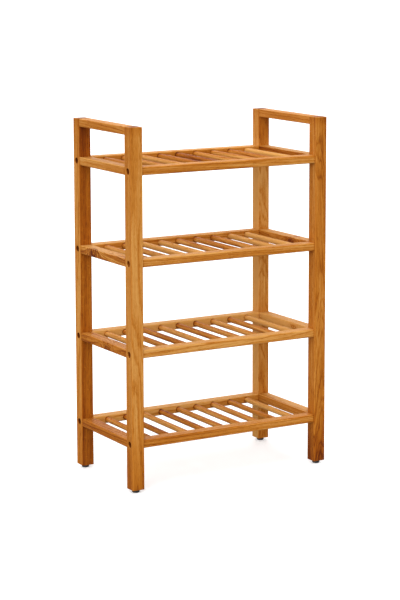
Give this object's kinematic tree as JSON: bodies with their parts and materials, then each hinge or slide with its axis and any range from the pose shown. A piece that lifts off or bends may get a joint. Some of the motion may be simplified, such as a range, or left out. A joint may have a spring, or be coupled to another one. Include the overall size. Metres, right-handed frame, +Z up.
{
  "type": "shoe rack",
  "caption": "Free-standing open wooden shoe rack: ladder side frames joined by tiers of round rungs between front and back rails, on small round glides.",
  "frame": {"origin": "on the floor, under the middle of the rack", "axes": "+X to the right along the shelf rails, +Y from front to back along the rungs, +Z up"},
  "size_m": [0.5, 0.27, 0.8],
  "materials": {
    "oak_posts": "oiled, satin",
    "oak_rails": "oiled, satin",
    "oak_rungs": "oiled, satin",
    "bolt_steel": "black oxide",
    "glide_plastic": "fine moulded texture"
  },
  "bodies": {
    "root": {"back_shelf_rail_1": "oak_rails", "back_shelf_rail_2": "oak_rails", "back_shelf_rail_3": "oak_rails", "back_shelf_rail_4": "oak_rails", "foot_glides": "glide_plastic", "front_shelf_rail_1": "oak_rails", "front_shelf_rail_2": "oak_rails", "front_shelf_rail_3": "oak_rails", "front_shelf_rail_4": "oak_rails", "left_back_post": "oak_posts", "left_front_post": "oak_posts", "left_side_rail_1": "oak_rails", "left_side_rail_2": "oak_rails", "left_side_rail_3": "oak_rails", "left_side_rail_4": "oak_rails", "left_top_rail": "oak_rails", "right_back_post": "oak_posts", "right_front_post": "oak_posts", "right_side_rail_1": "oak_rails", "right_side_rail_2": "oak_rails", "right_side_rail_3": "oak_rails", "right_side_rail_4": "oak_rails", "right_top_rail": "oak_rails", "rung_1_1": "oak_rungs", "rung_1_2": "oak_rungs", "rung_1_3": "oak_rungs", "rung_1_4": "oak_rungs", "rung_1_5": "oak_rungs", "rung_1_6": "oak_rungs", "rung_1_7": "oak_rungs", "rung_1_8": "oak_rungs", "rung_1_9": "oak_rungs", "rung_2_1": "oak_rungs", "rung_2_2": "oak_rungs", "rung_2_3": "oak_rungs", "rung_2_4": "oak_rungs", "rung_2_5": "oak_rungs", "rung_2_6": "oak_rungs", "rung_2_7": "oak_rungs", "rung_2_8": "oak_rungs", "rung_2_9": "oak_rungs", "rung_3_1": "oak_rungs", "rung_3_2": "oak_rungs", "rung_3_3": "oak_rungs", "rung_3_4": "oak_rungs", "rung_3_5": "oak_rungs", "rung_3_6": "oak_rungs", "rung_3_7": "oak_rungs", "rung_3_8": "oak_rungs", "rung_3_9": "oak_rungs", "rung_4_1": "oak_rungs", "rung_4_2": "oak_rungs", "rung_4_3": "oak_rungs", "rung_4_4": "oak_rungs", "rung_4_5": "oak_rungs", "rung_4_6": "oak_rungs", "rung_4_7": "oak_rungs", "rung_4_8": "oak_rungs", "rung_4_9": "oak_rungs", "shelf_fasteners": "bolt_steel"}
  },
  "joints": []
}
